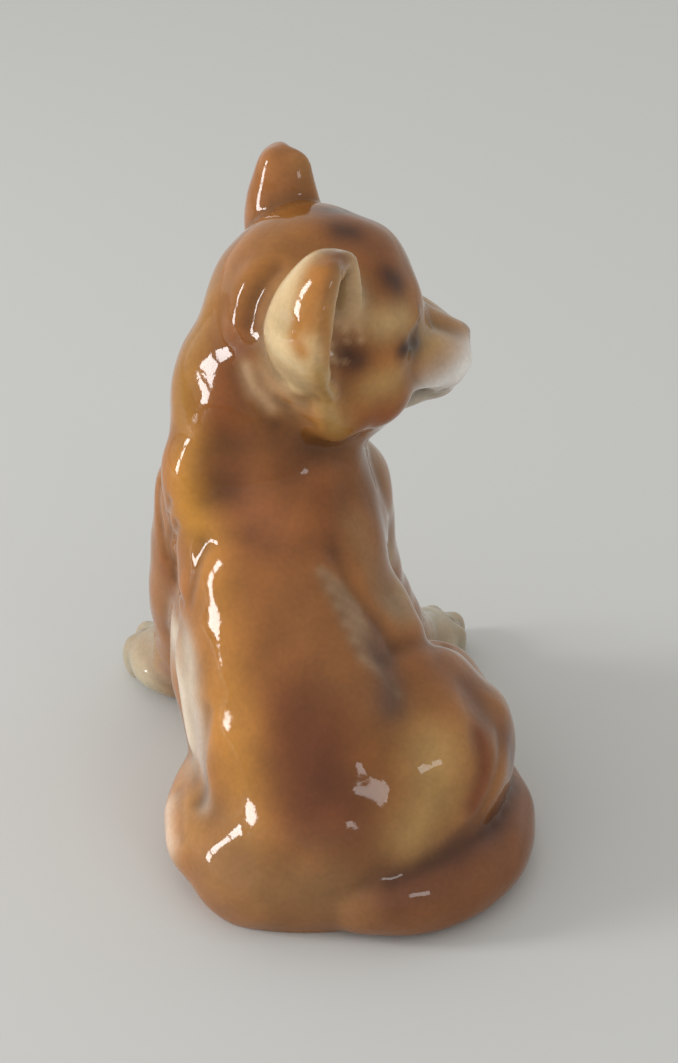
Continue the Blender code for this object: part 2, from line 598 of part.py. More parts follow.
def main():
    clear_scene()
    table = trim_block("table", 0.0, -1)
    over_neck = trim_block("over_neck", NECK.z, 1)
    under_neck = trim_block("under_neck", NECK.z + SLIP_GAP, -1)

    body = torso_mesh()
    torso = skin("torso", body, TORSO_GRAIN)
    cut(torso, table, over_neck, *torso_core())
    torso_outline = outline("torso", body, TORSO_GRAIN)
    glaze(torso, (0.26, 0.10, 0.032))

    skull = head_mesh()
    head = skin("head", skull, HEAD_GRAIN)
    cut(head, under_neck, head_core())
    head_outline = outline("head", skull, HEAD_GRAIN)
    glaze(head, (0.34, 0.15, 0.047))

    members = [torso, head]
    left_ear = ear_frame(LEFT, LEFT_EAR_SPREAD, LEFT_EAR_STEP, LEFT_EAR_OUTWARD_DEG, LEFT_EAR_NOD_DEG)
    right_ear = ear_frame(RIGHT, RIGHT_EAR_SPREAD, RIGHT_EAR_STEP, RIGHT_EAR_OUTWARD_DEG, RIGHT_EAR_NOD_DEG)
    for name, frame, width, depth in (
            ("left_ear", left_ear, LEFT_EAR_WIDTH, LEFT_EAR_DEPTH),
            ("right_ear", right_ear, RIGHT_EAR_WIDTH, RIGHT_EAR_DEPTH)):
        lump, scoop = ear_meshes(name, frame, width, depth)
        ear = skin(name, lump, EAR_GRAIN)
        cut(ear, as_helper(link(name + "_scoop", scoop)), head_outline)
        glaze(ear, (0.55, 0.37, 0.20))
        members.append(ear)

    forelegs = [
        foreleg_mesh("left_foreleg", LEFT, LEFT_FORELEG_SPREAD, LEFT_ELBOW_SPREAD,
                     LEFT_FOREPAW_SPREAD, LEFT_FOREPAW_SPLAY_DEG),
        foreleg_mesh("right_foreleg", RIGHT, RIGHT_FORELEG_SPREAD, RIGHT_ELBOW_SPREAD,
                     RIGHT_FOREPAW_SPREAD, RIGHT_FOREPAW_SPLAY_DEG),
    ]
    drawn_up = right_hind_leg_mesh()
    hind_legs = [left_hind_leg_mesh(), drawn_up]
    for legs, colour in ((forelegs, (0.40, 0.22, 0.10)), (hind_legs, (0.33, 0.15, 0.06))):
        for mesh in legs:
            leg = skin(mesh.name, mesh, LIMB_GRAIN)
            cut(leg, torso_outline, table)
            glaze(leg, colour)
            members.append(leg)

    tail = skin("tail", tail_mesh(), LIMB_GRAIN)
    cut(tail, torso_outline, outline("right_hind_leg", drawn_up, LIMB_GRAIN), table)
    glaze(tail, (0.13, 0.045, 0.02))
    members.append(tail)
    centre_on_table(members)


main()
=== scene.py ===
"""Seated lion cub, a glazed ceramic figurine, seen from behind and a little from its left.

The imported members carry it. Here they get the potter's finish: one sponged skin over all members, tooled
creases, sprayed colours and a clear glaze. Clay is measured in millimetres and scaled once, at the end.
"""

import math

import bpy
import numpy as np
from mathutils import Matrix, Vector
from mathutils.kdtree import KDTree


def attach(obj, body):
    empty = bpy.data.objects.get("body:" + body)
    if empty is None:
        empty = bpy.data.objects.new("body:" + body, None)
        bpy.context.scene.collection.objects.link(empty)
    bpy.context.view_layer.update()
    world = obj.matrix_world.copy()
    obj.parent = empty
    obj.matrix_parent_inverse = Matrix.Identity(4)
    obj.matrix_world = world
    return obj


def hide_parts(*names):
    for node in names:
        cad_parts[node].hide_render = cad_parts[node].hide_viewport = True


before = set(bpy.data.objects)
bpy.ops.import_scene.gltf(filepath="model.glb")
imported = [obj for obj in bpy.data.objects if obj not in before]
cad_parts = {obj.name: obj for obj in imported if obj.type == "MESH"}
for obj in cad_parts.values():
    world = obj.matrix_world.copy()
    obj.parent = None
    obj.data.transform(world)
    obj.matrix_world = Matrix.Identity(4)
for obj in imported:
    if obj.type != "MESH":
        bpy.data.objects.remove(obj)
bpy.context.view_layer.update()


# Camera. It stands behind the cub and a little to its left, and looks down on it as in the photograph.
# Photo points in later sections are pixels of the whole picture, carried onto the clay along its rays.
PICTURE = (678, 1063)
FOCAL_PX = 1922
AXIS_PX = (318, 498.5)
AIM = Vector((1.1, 3.0, 65.0))
RANGE = 350
AZIMUTH_DEG = 174
ELEVATION_DEG = 28
SENSOR = 36
MM = 0.001

turn = math.radians(AZIMUTH_DEG)
rise = math.radians(ELEVATION_DEG)
outwards = Vector((math.sin(turn) * math.cos(rise), -math.cos(turn) * math.cos(rise), math.sin(rise)))
viewpoint = AIM + outwards * RANGE
camera = bpy.data.objects.new("camera", bpy.data.cameras.new("camera"))
bpy.context.scene.collection.objects.link(camera)
looking = outwards.to_track_quat("Z", "Y").to_matrix().to_4x4()
camera.matrix_world = Matrix.Translation(viewpoint * MM) @ looking
camera.data.sensor_fit = "VERTICAL"
camera.data.sensor_height = SENSOR
camera.data.lens = SENSOR * FOCAL_PX / PICTURE[1]
camera.data.shift_x = (PICTURE[0] / 2 - AXIS_PX[0]) / PICTURE[1]
camera.data.shift_y = (AXIS_PX[1] - PICTURE[1] / 2) / PICTURE[1]
camera.data.clip_start = 0.01
bpy.context.scene.camera = camera


def ray_through(pixel):
    """The way from the camera through a pixel of the photograph."""
    right, up, back = camera.matrix_world.to_3x3().transposed()
    across = (pixel[0] - AXIS_PX[0]) / FOCAL_PX
    down = (pixel[1] - AXIS_PX[1]) / FOCAL_PX
    return (right * across - up * down - back).normalized()


# Torso. A hollow slip cast that leans to the cub's left: a column over rump, waist and shoulders to the neck.
# Belly, flank, loin, rump and shoulder blades are pressed on as lumps, and later sponged into one skin.
LEFT, RIGHT = 1, -1
SEAT = Vector((-2.9, 27.0, 11.0))
WAIST = SEAT + Vector((9.5, -17.0, 29.4))
SHOULDER = WAIST + Vector((2.0, -17.0, 23.4))
NECK = SHOULDER + Vector((1.0, -3.0, 12.0))
RING_SIDES = 40
ROLL_STEPS = 8
DOME_RINGS = 7
BROAD, MIDDLE, SMALL, FINE = 240, 100, 36, 14
clay, base_coat, finish = {}, {}, {}
tooling, spraying = [], []


def press_on(member, points, faces, rounds):
    """Clay on a member, to be sponged for so many rounds."""
    clay.setdefault(member, []).append((np.array(points), faces, rounds))


def rings_to_faces(rows, sides):
    """Faces between rings of points, with both ends closed."""
    faces = []
    for row in range(rows - 1):
        for k in range(sides):
            n = (k + 1) % sides
            faces.append((row * sides + k, row * sides + n, (row + 1) * sides + n, (row + 1) * sides + k))
    faces.append(tuple(reversed(range(sides))))
    faces.append(tuple(range((rows - 1) * sides, rows * sides)))
    return faces


def ball(member, centre, radii, place=Matrix(), rounds=BROAD):
    """An ellipsoid of clay with these three radii, in the axes of place."""
    rows = RING_SIDES // 2
    points = []
    for row in range(1, rows):
        tilt = math.pi * (row / rows - 0.5)
        for k in range(RING_SIDES):
            swing = 2 * math.pi * k / RING_SIDES
            unit = (math.cos(tilt) * math.cos(swing), math.cos(tilt) * math.sin(swing), math.sin(tilt))
            points.append(place @ (Vector(centre) + Vector(u * r for u, r in zip(unit, radii))))
    press_on(member, points, rings_to_faces(rows - 1, RING_SIDES), rounds)


def through(stations, steps):
    """Rows on a smooth curve through rows of numbers."""
    rows = [np.array(row, float) for row in stations]
    padded = [rows[0], *rows, rows[-1]]
    made = []
    for before, start, end, after in zip(padded, padded[1:], padded[2:], padded[3:]):
        slope, next_slope = (end - before) / 2, (after - start) / 2
        for t in np.arange(steps) / steps:
            leaving = start * (2 * t ** 3 - 3 * t ** 2 + 1) + slope * (t ** 3 - 2 * t ** 2 + t)
            made.append(leaving + end * (3 * t ** 2 - 2 * t ** 3) + next_slope * (t ** 3 - t ** 2))
    made.append(rows[-1])
    return made


def roll(member, stations, side_hint=Vector((1, 0, 0)), place=Matrix(), rounds=BROAD):
    """A round-ended roll of clay through stations (centre, half width, half depth)."""
    path = through([(*centre, width, depth) for centre, width, depth in stations], ROLL_STEPS)
    centres = [Vector(row[:3]) for row in path]
    ways = [(b - a).normalized() for a, b in zip([centres[0], *centres[:-1]], [*centres[1:], centres[-1]])]
    domes = []
    for end, sign in ((0, -1), (-1, 1)):
        dome = []
        for ring in range(1, DOME_RINGS + 1):
            angle = math.pi / 2 * ring / (DOME_RINGS + 0.5)
            reach = min(path[end][3], path[end][4]) * math.sin(angle) * sign
            dome.append((centres[end] + ways[end] * reach, *(path[end][3:] * math.cos(angle)), ways[end]))
        domes.append(dome)
    body = [(centre, row[3], row[4], way) for centre, row, way in zip(centres, path, ways)]
    points = []
    for centre, width, depth, way in [*domes[0][::-1], *body, *domes[1]]:
        side = (side_hint - way * side_hint.dot(way)).normalized()
        over = way.cross(side)
        for k in range(RING_SIDES):
            swing = 2 * math.pi * k / RING_SIDES
            points.append(place @ (centre + side * width * math.cos(swing) + over * depth * math.sin(swing)))
    press_on(member, points, rings_to_faces(len(points) // RING_SIDES, RING_SIDES), rounds)


# The column.
roll("torso", [
    (SEAT, 24, 21.6),
    ((SEAT + WAIST) / 2, 24.2, 22.2),
    (WAIST, 20.4, 19.2),
    ((WAIST + SHOULDER) / 2, 19.8, 18.4),
    (SHOULDER, 18.6, 17.4),
    (NECK, 16.8, 16.8),
])
# Chest and belly.
roll("torso", [
    (SHOULDER + Vector((-1, -9, -4)), 15.5, 12),
    (WAIST + Vector((2.5, -16, 4)), 17.5, 14),
    (WAIST + Vector((4.5, -15, -14)), 18.4, 18),
    (WAIST + Vector((4, -11, -24)), 17, 15),
])
# Right flank and loin, then the left flank.
roll("torso", [(WAIST + Vector((-13, -3, 4)), 9, 9), (SEAT + Vector((-10, -8, 22)), 9, 9)])
roll("torso", [(SEAT + Vector((-7.6, -10, 16)), 14, 14), (SEAT + Vector((-6, -2, 15.5)), 14, 14)])
roll("torso", [
    (WAIST + Vector((13.6, -4.5, 9)), 6.6, 7),
    (WAIST + Vector((14, -2.5, -2.4)), 7.5, 7.5),
    (WAIST + Vector((14, 1, -10.4)), 7.5, 8),
    (WAIST + Vector((13.4, 4, -18)), 6.8, 8),
], rounds=MIDDLE)
UP = Vector((0, 0, 1))
# Rump, and the two shoulder blades.
roll("torso", [(SEAT + Vector((18.5, 8, -3)), 12, 12), (SEAT + Vector((8, 9, -3)), 13, 13)], UP)
ball("torso", SEAT + Vector((6, 5, 4)), (19, 17, 17))
ball("torso", SHOULDER + Vector((14, 5.2, 3)), (7, 8.4, 13), rounds=MIDDLE)
ball("torso", SHOULDER + Vector((-5, 7.5, 2)), (9, 9.5, 12), rounds=MIDDLE)


def tool(height, width, points, where=None):
    """A stroke of the loop tool (height below 0) or of slip, through photo points or points in where."""
    tooling.append((height, width, points, where))


# A stroke is its height, its width and its points.
BACK_STROKES = {
    "hollow between the blades": (-1.7, 6, [(234, 460), (238, 492), (248, 520)]),
    "edge of the left blade": (0.8, 4, [(199, 438), (194, 480), (200, 518)]),
    "crease under the blades": (-0.8, 3.4, [(208, 537), (234, 533), (262, 537), (300, 545), (330, 543)]),
    "edge of the right blade": (-0.5, 3, [(347, 488), (343, 520), (335, 547)]),
    "crease of the right flank": (-0.6, 1.8, [(337, 554), (350, 586), (370, 614), (397, 645)]),
    "left armpit": (-0.5, 1.8, [(200, 545), (193, 575), (188, 600)]),
    "crease above the left thigh": (-0.6, 2, [(206, 712), (202, 760), (200, 800)]),
}
for stroke in BACK_STROKES.values():
    tool(*stroke)


def spray(colour, strength, width, points, where=None, members=()):
    """A pass of colour along photo points or points in where, fading out over width."""
    spraying.append((colour, strength, width, points, where, members))


def glaze(slot):
    """Sprayed colour with a fine mottle under a wet clear glaze, which the ground seat lacks."""
    material = bpy.data.materials.new("wet_" + slot)
    material["slot"] = slot
    material.use_nodes = True
    tree = material.node_tree
    shader = tree.nodes["Principled BSDF"]
    sprayed = tree.nodes.new("ShaderNodeAttribute")
    sprayed.attribute_name = "paint"
    place = tree.nodes.new("ShaderNodeTexCoord")

    def spread(value, low, high, least, most):
        """A value from low to high, mapped to least to most."""
        span = tree.nodes.new("ShaderNodeMapRange")
        for socket, number in zip(("From Min", "From Max", "To Min", "To Max"), (low, high, least, most)):
            span.inputs[socket].default_value = number
        tree.links.new(value, span.inputs["Value"])
        return span.outputs["Result"]

    def noise(scale, detail, least, most):
        """A noise over the piece between least and most."""
        pattern = tree.nodes.new("ShaderNodeTexNoise")
        pattern.inputs["Scale"].default_value = scale
        pattern.inputs["Detail"].default_value = detail
        tree.links.new(place.outputs["Object"], pattern.inputs["Vector"])
        return spread(pattern.outputs["Fac"], 0.3, 0.7, least, most)

    colour = sprayed.outputs["Color"]
    for scale, detail, least, most in ((130, 3, 0.88, 1.1), (1100, 2, 0.94, 1.05)):
        mottle = tree.nodes.new("ShaderNodeVectorMath")
        mottle.operation = "SCALE"
        tree.links.new(colour, mottle.inputs[0])
        tree.links.new(noise(scale, detail, least, most), mottle.inputs["Scale"])
        colour = mottle.outputs["Vector"]
    tree.links.new(colour, shader.inputs["Base Color"])
    height = tree.nodes.new("ShaderNodeSeparateXYZ")
    tree.links.new(place.outputs["Object"], height.inputs["Vector"])
    gloss = tree.nodes.new("ShaderNodeMath")
    bare = spread(height.outputs["Z"], low=0.0002, high=0.0006, least=0.55, most=0)
    tree.links.new(bare, gloss.inputs[0])
    tree.links.new(noise(scale=220, detail=2, least=0.04, most=0.1), gloss.inputs[1])
    tree.links.new(gloss.outputs["Value"], shader.inputs["Roughness"])
    shader.inputs["Specular IOR Level"].default_value = 0.34
    bump = tree.nodes.new("ShaderNodeBump")
    bump.inputs["Strength"].default_value = 0.06
    bump.inputs["Distance"].default_value = 0.0003
    tree.links.new(noise(scale=420, detail=2, least=0, most=1), bump.inputs["Height"])
    tree.links.new(bump.outputs["Normal"], shader.inputs["Normal"])
    return material


HONEY = (0.27, 0.105, 0.032)
GOLD = (0.39, 0.175, 0.04)
RUST = (0.21, 0.07, 0.022)
UMBER = (0.13, 0.042, 0.015)
CREAM = (0.55, 0.46, 0.37)
# Mauve is painted shade, for the corner where the haunch overlaps the flank.
PAINTED_SHADE_MAUVE = (0.13, 0.065, 0.045)
SEATED = Matrix.Translation(SEAT)
base_coat["torso"] = HONEY
finish["torso"] = glaze("back_glaze")
# A pass is its colour, its strength, its width and its points.
BACK_SPRAYS = {
    "chest and belly": (CREAM, 0.95, 15, [(10.9, -57, 49), (11.9, -57, 29), (12.9, -53, 9)], SEATED),
    "left side of the belly": (CREAM, 1.0, 6, [(176, 635), (181, 690), (188, 738)]),
    "edge of the cream": (CREAM, 0.8, 4.5, [(188, 650), (192, 690), (197, 735)]),
    # Painted shade: greyed cream in the crease above the left thigh.
    "painted shade on the cream above the left thigh": ((0.44, 0.36, 0.32), 0.9, 2.2, [(198, 715), (201, 760), (204, 808)]),
    "upper left of the back": (GOLD, 0.75, 6, [(215, 550), (222, 640), (230, 710)]),
    "lower left of the back": (GOLD, 1.0, 8, [(236, 725), (240, 770), (246, 825)]),
    "middle of the back": ((0.24, 0.09, 0.027), 0.7, 8, [(268, 560), (285, 640), (300, 690)]),
    "small of the back": ((0.18, 0.058, 0.018), 0.9, 6.5, [(296, 700), (297, 760), (304, 820)]),
    "shade beside the haunch": ((0.115, 0.033, 0.011), 0.95, 7.5, [(318, 720), (320, 770), (326, 815)]),
    "shade under the haunch": ((0.14, 0.036, 0.012), 0.9, 7, [(335, 835), (370, 852), (400, 862)]),
    "left blade": ((0.42, 0.20, 0.042), 0.95, 5, [(196, 440), (191, 480), (195, 520)]),
    "hollow between the blades": ((0.24, 0.085, 0.036), 0.85, 6, [(230, 465), (242, 495), (262, 525)]),
    "right blade": ((0.23, 0.078, 0.025), 0.85, 7, [(300, 465), (328, 500), (322, 548)]),
    "foot of the neck": ((0.16, 0.06, 0.022), 0.8, 5, [(225, 432), (270, 440), (315, 447)]),
    "right flank": ((0.27, 0.115, 0.045), 0.6, 9, [(330, 600), (345, 660)]),
    # Painted shade: mauve in the corner between flank and haunch.
    "painted shade in the corner of flank and haunch": (PAINTED_SHADE_MAUVE, 0.8, 4.5, [(372, 638), (384, 660), (390, 700)]),
    "rump": ((0.25, 0.13, 0.06), 0.85, 10, [(225, 870), (270, 890), (325, 890)]),
}
for one_pass in BACK_SPRAYS.values():
    spray(*one_pass)
HAIRS = 11
HAIR_START = (322, 572)
HAIR_STEP = (4, 8.5)
HAIR_REACH = [(0, 0), (19, 15), (35, 37)]
HAIR_COLOURS = ((0.37, 0.27, 0.185), (0.20, 0.10, 0.055))
for hair in range(HAIRS):
    x, y = (start + step * hair for start, step in zip(HAIR_START, HAIR_STEP))
    strand = [(x + across, y + down) for across, down in HAIR_REACH]
    spray(HAIR_COLOURS[hair % 2], 0.5, 1.1, strand)
    tool(-0.06, 0.9, strand)


# Head. A second hollow cast, turned to the cub's right and tilted, luted on at the neck.
# It is measured in its own axes from the middle of the skull, and looks towards -y. Its face is tooled.
SKULL = NECK + Vector((-6.5, -1.0, 16.3))
HEAD_TURN_DEG = -85
HEAD_TILT_DEG = -7.5
HEAD = (Matrix.Translation(SKULL) @ Matrix.Rotation(math.radians(HEAD_TURN_DEG), 4, "Z")
        @ Matrix.Rotation(math.radians(HEAD_TILT_DEG), 4, "Y"))


def to_side(side, points):
    """Points of the head, given for its left, on this side of it."""
    return [(side * x, y, z) for x, y, z in points]


# Skull, nape, forehead, brow and throat.
ball("head", (0, -2.8, 0.2), (22, 20.6, 23.2), HEAD)
ball("head", (0, 8.8, -9.5), (15.5, 13, 14), HEAD)
ball("head", (0, -8.5, 8.8), (14, 12.4, 13.2), HEAD)
ball("head", (0, -13, 6.2), (13, 8.8, 8.4), HEAD, MIDDLE)
THROAT = NECK + Vector((0.5, 1, 0))
roll("head", [(THROAT - 4 * UP, 17, 17.4), (THROAT + 6 * UP, 17, 17.4), (SKULL, 16, 16)])
# Muzzle, bridge, nose, chin and jaw.
roll("head", [
    ((0, -12, -1), 11.8, 8.8),
    ((0, -20, -4.2), 10.2, 7.6),
    ((0, -24.5, -6.2), 7.4, 5.8),
], place=HEAD, rounds=SMALL)
roll("head", [
    ((0, -14, 4.2), 6, 5),
    ((0, -21.5, 0.2), 5, 4.2),
    ((0, -28.4, -3.4), 4.2, 3.2),
], place=HEAD, rounds=SMALL)
ball("head", (0, -30.4, -3.6), (4.2, 2.3, 2.6), HEAD, FINE)
ball("head", (0, -24.4, -12), (6.4, 6, 3.8), HEAD, MIDDLE)
roll("head", [
    ((0, -6, -9.5), 12, 5.5),
    ((0, -14, -10.8), 10.6, 4.8),
    ((0, -21, -11.4), 8, 4.2),
], place=HEAD, rounds=SMALL)
MOUTH = [(1.2, -33, -7), (3.5, -31, -8.8), (8, -26, -10.4)]
CLEFT = [(0, -34, -4), (0, -32, -8)]
FACE_STROKES = {
    "eye socket": (-0.8, 3.2, [(13.6, -17, 4.4)]),
    "eyeball": (0.7, 1.9, [(15, -16, 4), (13.2, -17.6, 3.6)]),
    "upper lid": (0.35, 0.9, [(17, -14.4, 6), (14, -16.8, 6.8), (10.4, -19, 8)]),
    "mouth": (-0.5, 0.7, MOUTH),
    "nostril": (-0.9, 0.8, [(2.2, -33, -2.8)]),
}
for side in (LEFT, RIGHT):
    # Cheek, lip, brow, sideburn and side of the muzzle.
    ball("head", (side * 11.5, -8.5, -5), (9, 10.5, 8.5), HEAD, MIDDLE)
    ball("head", (side * 17, -3.5, -4.5), (6, 8.5, 7.5), HEAD, MIDDLE)
    ball("head", (side * 4.6, -25.6, -7), (5.2, 5.4, 4.8), HEAD, SMALL)
    ball("head", (side * 8, -16, 8), (5, 4.2, 3.6), HEAD, SMALL)
    roll("head", [
        ((side * 21.2, -0.8, 3.6), 2.4, 2.4),
        ((side * 20.8, -0.4, 1), 3.1, 3.1),
        ((side * 20.4, -1.4, -4), 3.2, 3.2),
        ((side * 18.6, -3, -9), 3, 3),
    ], place=HEAD, rounds=SMALL)
    roll("head", [
        ((side * 8.4, -15.5, -1.5), 6.8, 6.4),
        ((side * 6.4, -22.5, -3.8), 5.8, 5.6),
        ((side * 3.8, -27.5, -5.6), 4.8, 4.6),
    ], place=HEAD, rounds=SMALL)
    for height, width, points in FACE_STROKES.values():
        tool(height, width, to_side(side, points), HEAD)
HEAD_STROKES = {
    "cleft under the nose": (-0.7, 0.6, CLEFT, HEAD),
    "swell behind the right ear": (0.7, 3, [(236, 318), (242, 292), (250, 276)]),
    "crease round the right ear": (-0.7, 1.6, [(250, 322), (253, 302), (262, 284), (276, 268)]),
}
for stroke in HEAD_STROKES.values():
    tool(*stroke)

BONE = (0.72, 0.69, 0.66)
SEPIA = (0.05, 0.02, 0.012)
TAN = (0.40, 0.25, 0.12)
base_coat["head"] = (0.28, 0.115, 0.034)
finish["head"] = glaze("head_glaze")
HEAD_SPRAYS = {
    "edge of the nape": ((0.30, 0.145, 0.034), 0.9, 6, [(205, 300), (190, 350), (184, 400)]),
    "shade behind the right ear": ((0.145, 0.042, 0.011), 0.85, 6, [(242, 330), (230, 370), (224, 410)]),
    "back of the skull": ((0.24, 0.10, 0.027), 0.8, 8, [(305, 215), (270, 245), (250, 285)]),
    "crown": ((0.20, 0.085, 0.034), 0.7, 6, [(335, 210), (370, 230), (398, 252)]),
    "throat": (CREAM, 0.9, 9, [(0, -12, -16), (0, -4, -22)], HEAD),
    "chin": (BONE, 0.9, 4.5, [(0, -33, -8), (0, -30, -12)], HEAD),
}
FACE_SPRAYS = {
    "forehead": (RUST, 0.7, 5, [(4, -8, 20.6), (10, -13, 15.6), (14, -12, 12)]),
    "temple": ((0.35, 0.122, 0.036), 0.9, 4, [(20.2, -6, 5), (17, -12.5, 3.4)]),
    "pale patch over the eye": ((0.46, 0.30, 0.145), 0.95, 3.6, [(17, -11, 10.6), (14, -15, 9.6)]),
    "lower cheek": ((0.26, 0.082, 0.02), 1.0, 5.5, [(21, -8, -6), (16, -14, -8.5)]),
    "pale patch under the eye": ((0.42, 0.235, 0.09), 0.95, 3.6, [(20.4, -9, 0.6), (18, -13, 0)]),
    "side of the bridge": (TAN, 0.9, 4, [(10.6, -20, 2.4), (7, -23.5, 0)]),
    "muzzle": (BONE, 1.0, 5, [(11, -22, -8), (9, -27, -6.5), (5, -31, -5.5)]),
    "jaw": ((0.44, 0.38, 0.31), 0.9, 3, [(5, -25, -12), (9, -19, -11)]),
    "sideburn": ((0.34, 0.18, 0.066), 0.9, 3.6, [(22.4, -1, -2), (21, -3, -8)]),
}
SPOTS = [(4, -6.4, 22), (10.6, -13.5, 16), (20.6, -4.6, 6.8)]
LINE_SPRAYS = {
    "outline of the eye": (SEPIA, 1, 2.2, [(16.6, -15.2, 4.8), (14.6, -16.6, 4.1), (12.9, -18.1, 3.4)]),
    "inner corner": (SEPIA, 0.5, 0.8, [(12.2, -18.5, 5.6), (10.6, -19.2, 7.4), (9.4, -19.7, 9)]),
    "iris": ((0.11, 0.08, 0.045), 0.8, 1.0, [(14.9, -16.4, 3.6), (14, -17.2, 3.3)]),
    "pupil": (SEPIA, 0.95, 0.65, [(14.5, -16.8, 3.9)]),
    "mouth": (SEPIA, 0.55, 0.7, MOUTH),
}
NOSE_SPRAYS = {
    "bridge": ((0.30, 0.16, 0.07), 0.9, 3.4, [(0, -19, 6), (0, -25, 3), (0, -29, 0.5)], HEAD),
    "nose": ((0.16, 0.085, 0.055), 0.9, 2.4, [(0, -32.8, -3.2)], HEAD),
    "cleft under the nose": (SEPIA, 0.6, 0.6, CLEFT, HEAD),
}
for one_pass in HEAD_SPRAYS.values():
    spray(*one_pass)
for side in (LEFT, RIGHT):
    for shade, strength, width, points in FACE_SPRAYS.values():
        spray(shade, strength, width, to_side(side, points), HEAD)
    for x, y, z in SPOTS:
        spray(RUST, 0.6, 5, to_side(side, [(x, y, z)]), HEAD)
        spray(SEPIA, 0.85, 2.7, to_side(side, [(x, y, z), (x, y - 1.5, z - 1)]), HEAD)
    for shade, strength, width, points in LINE_SPRAYS.values():
        spray(shade, strength, width, to_side(side, points), HEAD)
for one_pass in NOSE_SPRAYS.values():
    spray(*one_pass)
LOCKS = {
    "dark lock": ((0.20, 0.075, 0.022), 0.6, 1.6, [(238, 370), (250, 402), (284, 424)]),
    "first pale lock": ((0.44, 0.29, 0.18), 0.75, 1.6, [(246, 368), (254, 388), (272, 405)]),
    "second pale lock": ((0.42, 0.25, 0.14), 0.75, 2.2, [(264, 374), (277, 392), (294, 405)]),
    "lock under the ear": ((0.34, 0.15, 0.05), 0.6, 1.4, [(282, 398), (300, 414), (322, 424)]),
}
LOCK_GAP = (-6, 2)
for shade, strength, width, lock in LOCKS.values():
    spray(shade, strength, width, lock)
    tool(-0.3, 1.1, [(x + LOCK_GAP[0], y + LOCK_GAP[1]) for x, y in lock])


# Ears. Upright leaves of clay, curled into cups that open forwards, luted on the sides of the skull.
# A row is (height along the leaf, half width, depth of the cup, tuck towards the skull).
EAR_ROWS = [(-15, 5, 7, 6), (-8, 8.4, 11, 2.4), (-1, 9.6, 12.2, 0), (5, 8.8, 10.8, 0), (9.5, 7.4, 8.6, 0),
            (12.4, 6, 6.6, 0), (14, 4.6, 4.8, 0)]
EAR_WALL = 4.4
EAR_WALL_MOST = 0.8
EAR_RIM = 1.6
EAR_CURL_DEG = 95
EAR_SET_BACK = 4
EAR_LEAN_DEG = -4
EAR_TIP = Vector((0, -3.4, 13.2))
EAR_TIP_RADII = (4.4, 3.8, 3)
EAR_FLOOR_HEIGHT = -9
EAR_FLOOR_TUCK = 2.4
EAR_FLOOR_RADII = (6, 5, 5)
EAR_STEPS = 6
EAR_SWINGS = 20

for name, side, root, outward, nod, slim in (
        ("left_ear", LEFT, (19.5, 0.4, 12.4), 24, -9, 0.88),
        ("right_ear", RIGHT, (-20, 1.8, 12.2), 34, 3, 1)):
    lean, nod, outward = (math.radians(angle) for angle in (EAR_LEAN_DEG * side, nod, outward * side))
    place = (HEAD @ Matrix.Translation(root) @ Matrix.Rotation(lean, 4, "Y") @ Matrix.Rotation(nod, 4, "X")
             @ Matrix.Rotation(outward, 4, "Z"))
    inwards = place.to_3x3().inverted() @ HEAD.to_3x3() @ Vector((-side, -0.5, 0))
    swings = [math.radians(EAR_CURL_DEG) * (2 * k / EAR_SWINGS - 1) for k in range(EAR_SWINGS + 1)]
    rows = through(EAR_ROWS, EAR_STEPS)
    points, rims = [], ([], [])
    for height, width, depth, tuck in rows:
        layers = []
        for wall in (0, EAR_WALL / 2, min(EAR_WALL, EAR_WALL_MOST * width * slim)):
            reach, back = width * slim - wall, depth * slim - wall
            layers.append([Vector((reach * math.sin(swing), back * math.cos(swing) - EAR_SET_BACK, height))
                           + inwards * tuck for swing in swings])
        points.extend(place @ point for point in layers[0] + layers[2][::-1])
        rims[0].append(layers[1][0])
        rims[1].append(layers[1][-1])
    press_on(name, points, rings_to_faces(len(rows), 2 * len(swings)), FINE)
    tip, floor = ((x * slim, y * slim, z) for x, y, z in (EAR_TIP_RADII, EAR_FLOOR_RADII))
    ball(name, EAR_TIP + Vector((0, 1.6, -1.4)), tip, place, FINE)
    ball(name, inwards * EAR_FLOOR_TUCK + UP * EAR_FLOOR_HEIGHT, floor, place, FINE)
    edges = [rim[:-1:EAR_STEPS] for rim in rims]
    arch = [*edges[0], EAR_TIP, *reversed(edges[1])]
    roll(name, [(point, EAR_RIM, EAR_RIM) for point in arch], Vector((0, 1, 0)), place, FINE)
    finish[name] = finish.get("left_ear") or glaze("ear_glaze")
    spray((0.50, 0.31, 0.175), 0.95, 7, [(0, -6, 8), (0, -6, -6)], place, (name,))
EAR_ORANGE = (0.33, 0.14, 0.036)
base_coat["left_ear"] = (0.26, 0.105, 0.036)
base_coat["right_ear"] = (0.50, 0.37, 0.22)
EAR_SPRAYS = {
    # Painted shade: dark brown inside the near ear's tip, where its cup is shaded.
    "painted shade inside the tip of the right ear": ((0.18, 0.066, 0.02), 1.0, 3.4, [(338, 254), (326, 268), (320, 290)]),
    "fold under its tip": (EAR_ORANGE, 0.95, 3, [(316, 272), (308, 300), (310, 322)]),
    "patch on its back": (EAR_ORANGE, 0.9, 1.8, [(300, 318), (294, 336), (302, 352)]),
    "its rim": (EAR_ORANGE, 0.8, 1.5, [(324, 310), (327, 340), (328, 365)]),
    "its lower end": ((0.39, 0.24, 0.10), 0.9, 2.2, [(318, 372), (328, 400), (337, 424)]),
    "edge of its lower end": ((0.30, 0.13, 0.045), 0.7, 1.2, [(331, 368), (340, 400), (347, 420)]),
    "cup of the left ear": ((0.30, 0.145, 0.055), 0.8, 2.5, [(312, 158), (320, 182)]),
}
for one_pass in EAR_SPRAYS.values():
    spray(*one_pass)


